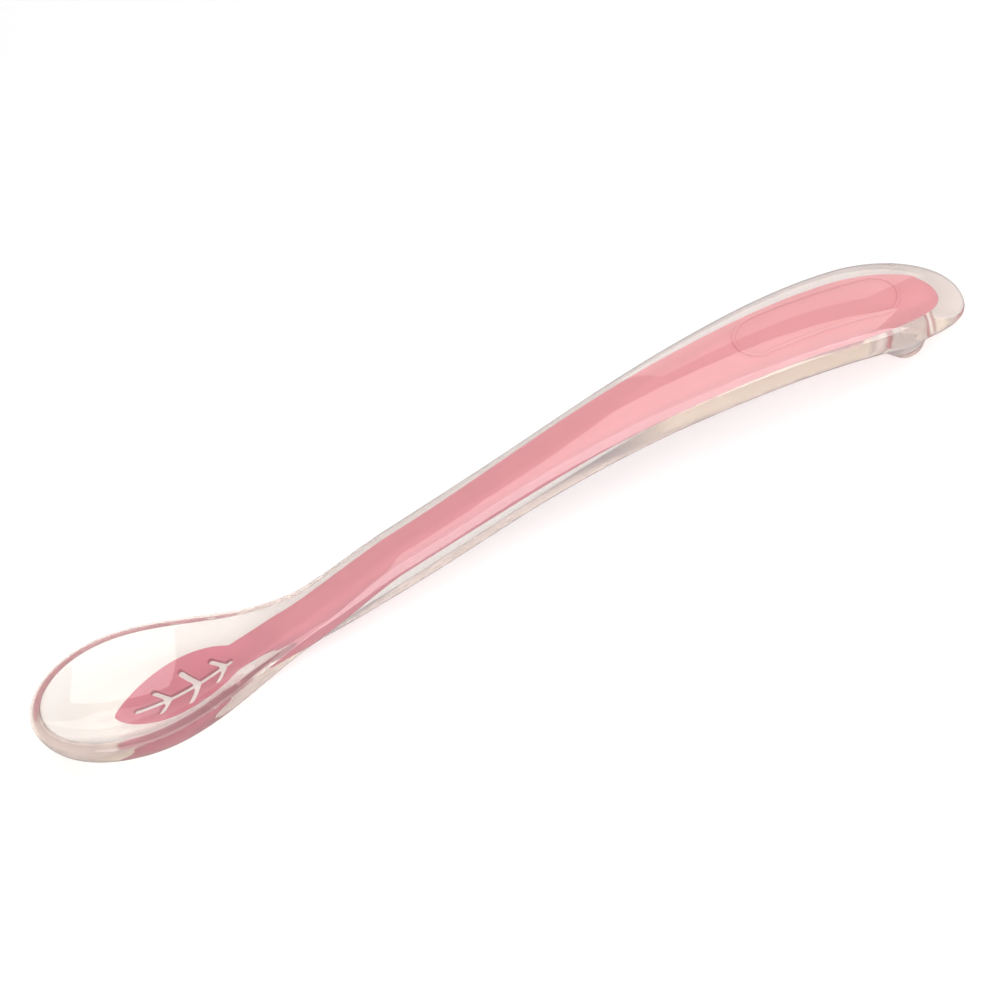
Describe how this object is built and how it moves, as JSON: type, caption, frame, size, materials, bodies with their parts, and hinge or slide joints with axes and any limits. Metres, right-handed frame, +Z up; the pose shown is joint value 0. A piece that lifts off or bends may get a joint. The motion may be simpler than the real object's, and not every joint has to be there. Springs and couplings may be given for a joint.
{
  "type": "baby feeding spoon",
  "caption": "Baby feeding spoon: stiff coloured core with a slotted leaf in the bowl floor, sealed inside one clear soft moulding with a deep bowl, arched handle and small foot.",
  "frame": {"origin": "middle of the spoon's length and width, at the level of the table it rests on", "axes": "+X from the bowl tip to the handle end, +Y across the spoon, +Z up"},
  "size_m": [0.155, 0.024, 0.0175],
  "materials": {
    "core": "satin coloured polypropylene",
    "silicone": "clear glossy silicone"
  },
  "bodies": {
    "root": {"core": "core", "silicone_body": "silicone"}
  },
  "joints": []
}
